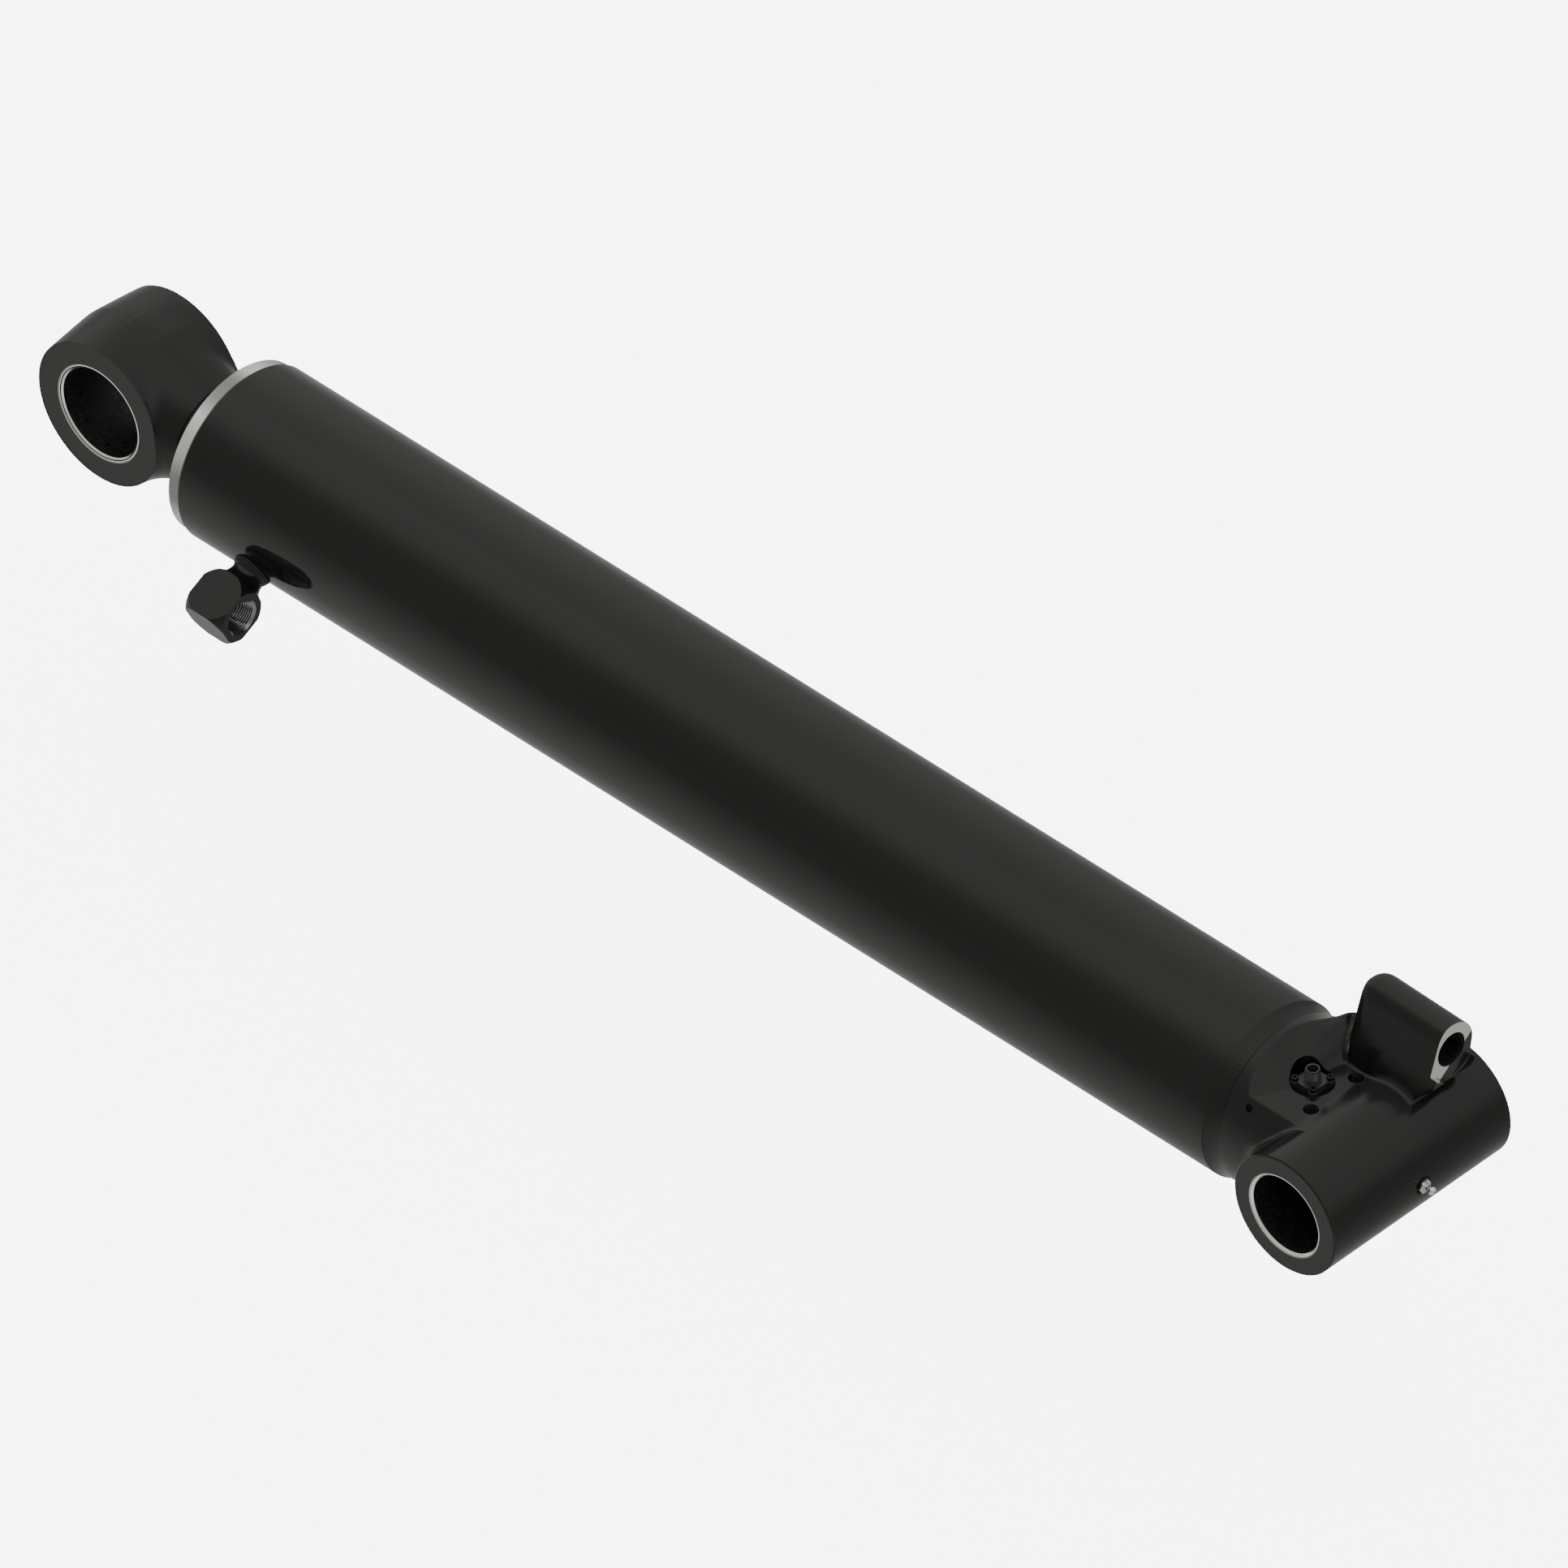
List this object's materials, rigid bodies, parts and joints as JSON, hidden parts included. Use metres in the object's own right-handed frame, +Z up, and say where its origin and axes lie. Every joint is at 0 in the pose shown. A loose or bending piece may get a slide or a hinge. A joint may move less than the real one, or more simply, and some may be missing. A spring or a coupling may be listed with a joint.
{
  "type": "telescopic hydraulic cylinder",
  "caption": "Double-acting telescopic hydraulic cylinder with a round barrel, pin eyes at both ends, ports on the barrel and a built-in position sensor.",
  "frame": {"origin": "centre of the base pin: on the base eye's bore axis, at the middle of its width", "axes": "+X from the rod eye towards the base eye, along the cylinder's axis, so the rod leaves towards -X; +Y along both pins; +Z up, on the side of the connector pad"},
  "size_m": [1.2758, 0.2005, 0.1697],
  "materials": {
    "black_paint": "glossy black enamel over blast-cleaned steel and cast iron, light orange peel",
    "bright_steel": "turned bright steel, fine circumferential tool marks",
    "machined_steel": "machined steel, fine tool marks",
    "hard_chrome": "ground and polished hard chrome",
    "honed_steel": "honed steel tube, light oil film",
    "cast_iron": "turned cast iron, oiled",
    "bushing_steel": "hardened steel bushing, ground bore with a light grease film",
    "zinc_steel": "bright zinc plating",
    "black_oxide_steel": "black oxide on alloy steel screws",
    "seal_rubber": "black nitrile rubber",
    "seal_polyurethane": "dark blue polyurethane",
    "guide_composite": "brown fabric-reinforced resin",
    "sensor_plastic": "black glass-filled plastic"
  },
  "bodies": {
    "barrel": {"barrel_tube": "black_paint", "base_weld_bead": "black_paint", "base_casting": "black_paint", "base_bushing_rear": "bushing_steel", "base_bushing_front": "bushing_steel", "base_grease_nipple": "zinc_steel", "sensor_flange": "sensor_plastic", "sensor_contact_insert": "sensor_plastic", "connector_screw_1": "black_oxide_steel", "connector_screw_2": "black_oxide_steel", "connector_screw_3": "black_oxide_steel", "connector_screw_4": "black_oxide_steel", "sensor_lead": "seal_rubber", "sensor_unit": "machined_steel", "sensor_set_screw": "black_oxide_steel", "head_port_elbow": "black_paint", "elbow_weld": "black_paint", "head_gland": "bright_steel", "gland_guide_ring_inner": "guide_composite", "gland_rod_seal": "seal_polyurethane", "gland_guide_ring_outer": "guide_composite", "gland_wiper": "seal_polyurethane", "gland_o_ring": "seal_rubber"},
    "stage_seals": {"stage_wear_ring_rear": "guide_composite", "stage_piston_seal": "seal_polyurethane", "stage_wear_ring_front": "guide_composite"},
    "stage": {"stage_outer_tube": "hard_chrome", "stage_inner_tube": "honed_steel", "stage_piston": "cast_iron", "stage_gland": "bright_steel", "stage_gland_guide_inner": "guide_composite", "stage_gland_rod_seal": "seal_polyurethane", "stage_gland_guide_outer": "guide_composite", "stage_gland_wiper": "seal_polyurethane", "stage_gland_o_ring": "seal_rubber"},
    "rod_seals": {"rod_wear_ring_rear": "guide_composite", "rod_piston_seal": "seal_polyurethane", "rod_wear_ring_front": "guide_composite"},
    "rod": {"piston_rod": "hard_chrome", "rod_piston": "cast_iron", "piston_nut": "zinc_steel", "rod_o_ring": "seal_rubber", "rod_eye": "black_paint", "rod_eye_bushing": "bushing_steel", "rod_eye_weld": "black_paint"}
  },
  "joints": [
    {"name": "stage_slide", "type": "slide", "parent": "barrel", "child": "stage_seals", "axis": [-1, 0, 0], "range_m": [0, 0.81]},
    {"name": "stage_spin", "type": "hinge", "parent": "stage_seals", "child": "stage", "pos_m": [0, 0, 0], "axis": [1, 0, 0], "continuous": true},
    {"name": "rod_slide", "type": "slide", "parent": "stage", "child": "rod_seals", "axis": [-1, 0, 0], "range_m": [0, 0.8]},
    {"name": "rod_spin", "type": "hinge", "parent": "rod_seals", "child": "rod", "pos_m": [0, 0, 0], "axis": [1, 0, 0], "continuous": true}
  ]
}
